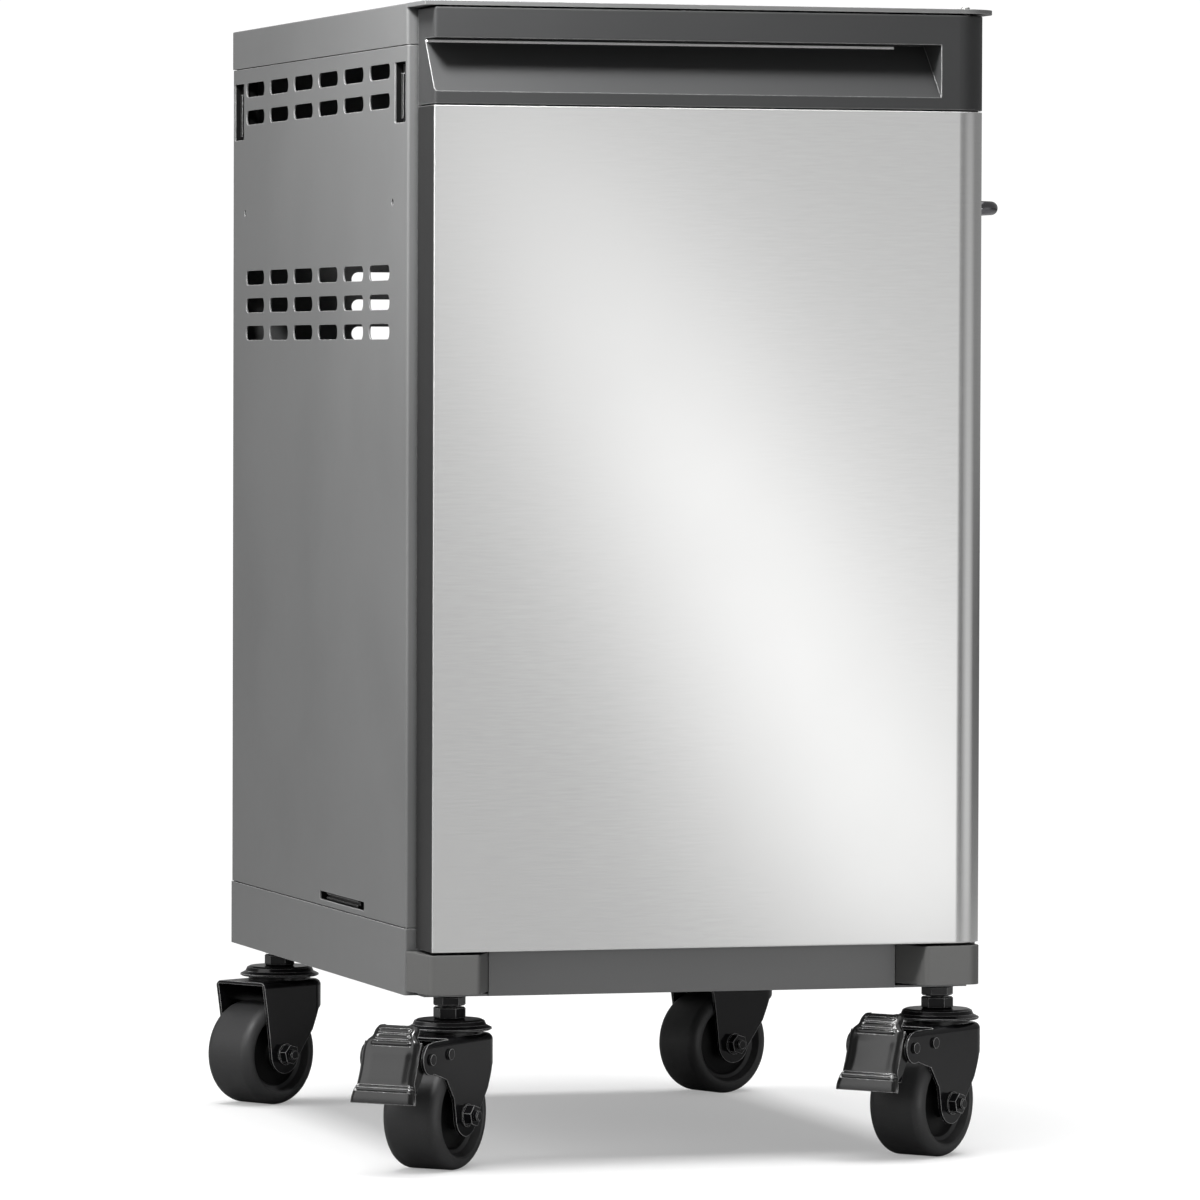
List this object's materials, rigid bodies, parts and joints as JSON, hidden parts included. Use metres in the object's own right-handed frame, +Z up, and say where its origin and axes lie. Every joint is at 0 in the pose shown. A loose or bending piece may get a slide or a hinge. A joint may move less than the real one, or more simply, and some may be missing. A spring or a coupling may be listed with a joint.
{
  "type": "mobile equipment cabinet",
  "caption": "Wheeled grey sheet-metal base cabinet for a countertop soft serve machine, with a brushed steel door, recessed grip handle, side rail and swivel casters with brake pedals.",
  "frame": {"origin": "on the floor, under the middle of the whole object's box", "axes": "+Z up; the door faces -Y; +X is to the right of a person facing the door"},
  "size_m": [0.6568, 0.7802, 1.0545],
  "materials": {
    "carcass_paint": "satin grey powder coat",
    "trim_grey": "satin dark grey paint",
    "edge_trim": "satin dark grey paint",
    "handle_plastic": "satin moulded",
    "brushed_steel": "horizontal brushed grain",
    "grip_bright": "bright",
    "polished_rod": "polished",
    "zinc_screw": "zinc plated",
    "dark_steel": "satin black",
    "black_plastic": "matte",
    "rubber": "matte",
    "caster_black": "gloss black",
    "pedal_black": "semi-gloss black",
    "wheel_tread": "matte",
    "wheel_hub": "matte"
  },
  "bodies": {
    "cabinet": {"top_cover": "carcass_paint", "hinge_plate": "carcass_paint", "left_side_panel": "carcass_paint", "right_side_panel": "carcass_paint", "back_panel": "carcass_paint", "back_panel_screws": "zinc_screw", "base_tray": "carcass_paint", "front_rail": "carcass_paint", "corner_cap_left": "trim_grey", "corner_cap_right": "trim_grey", "floor_panel": "carcass_paint", "front_frame": "carcass_paint", "hanger_pockets": "black_plastic", "hanger_bars": "dark_steel", "side_rail": "polished_rod", "rail_screws": "zinc_screw", "top_hinge_pin": "zinc_screw", "lower_hinge_bracket": "dark_steel", "lower_hinge_pin": "zinc_screw", "magnetic_catch": "black_plastic", "stem_sockets": "dark_steel", "caster_stems": "caster_black", "lock_nuts": "caster_black", "stem_hexes": "caster_black", "raceway_caps": "caster_black"},
    "door": {"door_skin": "brushed_steel", "door_edge_trim": "edge_trim", "door_liner": "carcass_paint", "handle_moulding": "handle_plastic", "grip_strip": "grip_bright", "hinge_bushes": "black_plastic", "catch_strike": "zinc_screw", "door_bumpers": "rubber"},
    "front_left_swivel": {"front_left_fork": "caster_black", "front_left_axle_bolt": "caster_black", "front_left_axle_nut": "caster_black", "front_left_rivets": "caster_black"},
    "front_left_wheel": {"front_left_tyre": "wheel_tread", "front_left_hub": "wheel_hub"},
    "front_left_pedal": {"front_left_pedal": "pedal_black", "front_left_brake_shoe": "caster_black"},
    "front_right_swivel": {"front_right_fork": "caster_black", "front_right_axle_bolt": "caster_black", "front_right_axle_nut": "caster_black", "front_right_rivets": "caster_black"},
    "front_right_wheel": {"front_right_tyre": "wheel_tread", "front_right_hub": "wheel_hub"},
    "front_right_pedal": {"front_right_pedal": "pedal_black", "front_right_brake_shoe": "caster_black"},
    "rear_left_swivel": {"rear_left_fork": "caster_black", "rear_left_axle_bolt": "caster_black", "rear_left_axle_nut": "caster_black"},
    "rear_left_wheel": {"rear_left_tyre": "wheel_tread", "rear_left_hub": "wheel_hub"},
    "rear_right_swivel": {"rear_right_fork": "caster_black", "rear_right_axle_bolt": "caster_black", "rear_right_axle_nut": "caster_black"},
    "rear_right_wheel": {"rear_right_tyre": "wheel_tread", "rear_right_hub": "wheel_hub"}
  },
  "joints": [
    {"name": "door_hinge", "type": "hinge", "parent": "cabinet", "child": "door", "pos_m": [0.26024, -0.30791, 0.198], "axis": [0, 0, 1], "range_deg": [0, 110]},
    {"name": "front_left_swivel", "type": "hinge", "parent": "cabinet", "child": "front_left_swivel", "pos_m": [-0.22026, -0.28191, 0.121], "axis": [0, 0, 1], "continuous": true},
    {"name": "front_left_wheel_spin", "type": "hinge", "parent": "front_left_swivel", "child": "front_left_wheel", "pos_m": [-0.23864, -0.30029, 0.05], "axis": [0.7071, -0.7071, 0], "continuous": true},
    {"name": "front_left_brake_pedal", "type": "hinge", "parent": "front_left_swivel", "child": "front_left_pedal", "pos_m": [-0.2839, -0.34555, 0.105], "axis": [0.7071, -0.7071, 0], "range_deg": [0, 18]},
    {"name": "front_right_swivel", "type": "hinge", "parent": "cabinet", "child": "front_right_swivel", "pos_m": [0.24624, -0.28191, 0.121], "axis": [0, 0, 1], "continuous": true},
    {"name": "front_right_wheel_spin", "type": "hinge", "parent": "front_right_swivel", "child": "front_right_wheel", "pos_m": [0.22604, -0.29827, 0.05], "axis": [0.6293, -0.7771, 0], "continuous": true},
    {"name": "front_right_brake_pedal", "type": "hinge", "parent": "front_right_swivel", "child": "front_right_pedal", "pos_m": [0.1763, -0.33854, 0.105], "axis": [0.6293, -0.7771, 0], "range_deg": [0, 18]},
    {"name": "rear_left_swivel", "type": "hinge", "parent": "cabinet", "child": "rear_left_swivel", "pos_m": [-0.22026, 0.35009, 0.121], "axis": [0, 0, 1], "continuous": true},
    {"name": "rear_left_wheel_spin", "type": "hinge", "parent": "rear_left_swivel", "child": "rear_left_wheel", "pos_m": [-0.2423, 0.33632, 0.05], "axis": [0.5299, -0.848, 0], "continuous": true},
    {"name": "rear_right_swivel", "type": "hinge", "parent": "cabinet", "child": "rear_right_swivel", "pos_m": [0.24624, 0.35009, 0.121], "axis": [0, 0, 1], "continuous": true},
    {"name": "rear_right_wheel_spin", "type": "hinge", "parent": "rear_right_swivel", "child": "rear_right_wheel", "pos_m": [0.22249, 0.33952, 0.05], "axis": [0.4067, -0.9135, 0], "continuous": true}
  ]
}
